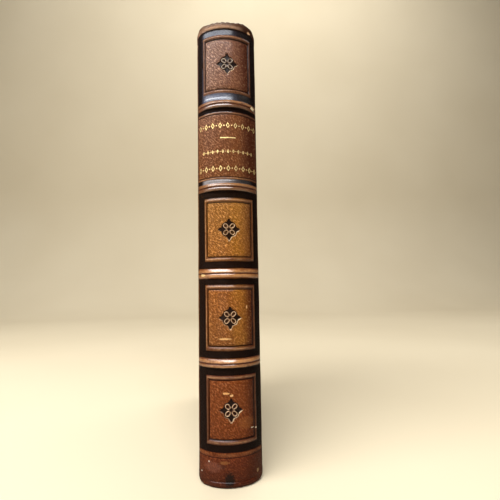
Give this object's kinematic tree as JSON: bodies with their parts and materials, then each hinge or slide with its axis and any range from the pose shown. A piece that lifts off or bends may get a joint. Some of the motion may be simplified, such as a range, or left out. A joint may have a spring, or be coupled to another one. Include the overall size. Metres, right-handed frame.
{
  "type": "antique half-leather book",
  "caption": "Upright hardback book with a rounded leather spine, raised bands and blind-tooled panels; both covers swing open.",
  "frame": {"origin": "centre of the bounding box's base: the book stands on its tail edge at z = 0", "axes": "+Z from tail to head; the spine faces -Y and the fore-edge +Y; +X from the back cover to the front cover"},
  "size_m": [0.0296, 0.148, 0.22],
  "materials": {
    "spine_leather": "blind-tooled, blackened borders, worn satin",
    "cover_leather": "worn satin",
    "siding": "pebbled, satin",
    "endpaper": "matte, aged",
    "page_edges": "matte, aged",
    "millboard": "matte",
    "lining": "matte",
    "silk": "silk thread",
    "cord": "hemp",
    "gold": "worn gold leaf"
  },
  "bodies": {
    "book_block": {"text_block": "page_edges", "front_flyleaf": "endpaper", "back_flyleaf": "endpaper", "headband": "silk", "tailband": "silk", "spine_lining": "lining", "sewing_cord_1": "cord", "sewing_cord_2": "cord", "sewing_cord_3": "cord", "sewing_cord_4": "cord", "sewing_cord_5": "cord", "spine_stiffener": "lining", "false_band_1": "lining", "false_band_2": "lining", "false_band_3": "lining", "false_band_4": "lining", "spine_leather": "spine_leather", "gold_ornament": "gold"},
    "front_cover": {"front_board": "millboard", "front_leather": "cover_leather", "front_siding": "siding", "front_pastedown": "endpaper"},
    "back_cover": {"back_board": "millboard", "back_leather": "cover_leather", "back_siding": "siding", "back_pastedown": "endpaper"}
  },
  "joints": [
    {"name": "front_cover_hinge", "type": "hinge", "parent": "book_block", "child": "front_cover", "pos_m": [0.01485, -0.06299, 0], "axis": [0, 0, -1], "range_deg": [0, 170]},
    {"name": "back_cover_hinge", "type": "hinge", "parent": "book_block", "child": "back_cover", "pos_m": [-0.01485, -0.06299, 0], "axis": [0, 0, 1], "range_deg": [0, 170]}
  ]
}
